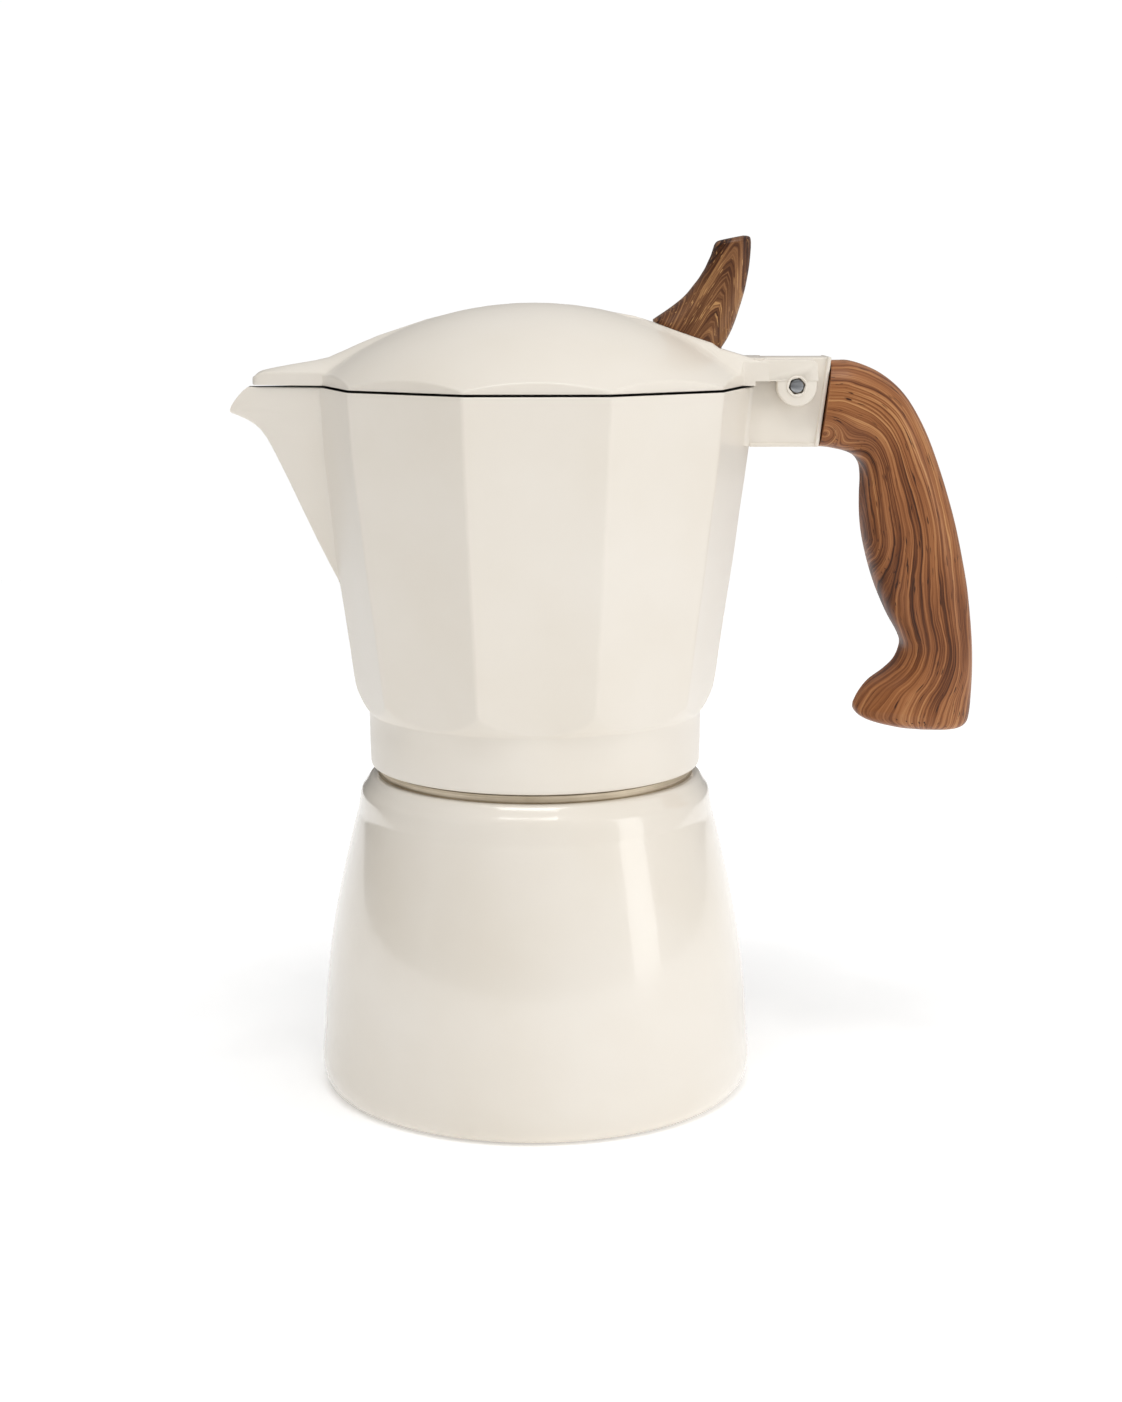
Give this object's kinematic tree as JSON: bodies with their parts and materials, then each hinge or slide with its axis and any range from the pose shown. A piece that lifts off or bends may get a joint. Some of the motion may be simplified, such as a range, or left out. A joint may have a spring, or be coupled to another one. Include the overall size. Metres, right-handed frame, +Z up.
{
  "type": "moka pot",
  "caption": "Stovetop moka pot: round painted boiler, screw-on ten-sided upper chamber with a beaked spout, domed hinged lid, wood-look knob and curved handle.",
  "frame": {"origin": "centre of the flat underside of the boiler, on the pot's vertical axis", "axes": "+Z up, +X towards the handle, -X towards the spout, +Y towards the safety valve"},
  "size_m": [0.1695, 0.1043, 0.1951],
  "materials": {
    "cream_gloss_paint": "gloss enamel on cast aluminium",
    "cream_satin_paint": "satin enamel on cast aluminium",
    "wood_look_handle": "satin, printed walnut grain",
    "wood_look_knob": "satin, printed dark walnut grain",
    "bare_aluminium": "spun and washed",
    "steel": "drawn wire, dull",
    "brass": "turned",
    "silicone": "matte",
    "red_fibre": "pressed fibre"
  },
  "bodies": {
    "boiler": {"boiler": "cream_gloss_paint", "safety_valve_body": "brass", "safety_valve_washer": "red_fibre", "safety_valve_spring": "steel", "safety_valve_retainer": "brass", "funnel_basket": "bare_aluminium", "funnel_stem": "bare_aluminium", "basket_filter_disc": "bare_aluminium"},
    "valve_piston": {"safety_valve_piston": "steel"},
    "gasket_set": {"gasket": "silicone", "filter_plate": "bare_aluminium"},
    "upper_chamber": {"upper_chamber": "cream_satin_paint", "coffee_column": "bare_aluminium", "column_cap": "bare_aluminium", "handle": "wood_look_handle", "handle_screw": "steel", "handle_washer": "steel", "hinge_pin": "steel"},
    "lid": {"lid": "cream_satin_paint", "lid_knob": "wood_look_knob", "knob_insert": "brass", "knob_screw": "steel", "knob_washer": "steel"}
  },
  "joints": [
    {"name": "chamber_lift", "type": "slide", "parent": "boiler", "child": "gasket_set", "axis": [0, 0, 1], "range_m": [0, 0.0101]},
    {"name": "chamber_turn", "type": "hinge", "parent": "gasket_set", "child": "upper_chamber", "pos_m": [0, 0, 0.075], "axis": [0, 0, 1], "range_deg": [0, 900]},
    {"name": "lid_hinge", "type": "hinge", "parent": "upper_chamber", "child": "lid", "pos_m": [0.0583, 0, 0.162], "axis": [0, 1, 0], "range_deg": [0, 94]},
    {"name": "valve_lift", "type": "slide", "parent": "boiler", "child": "valve_piston", "axis": [0, 1, 0], "range_m": [0, 0.0015], "stiffness_N_per_m": 1000, "springref_m": -0.002, "deforming": ["safety_valve_spring"]}
  ],
  "couplings": [
    {"joint": "chamber_lift", "follows": "chamber_turn", "m_per_rad": 0.00063662}
  ]
}
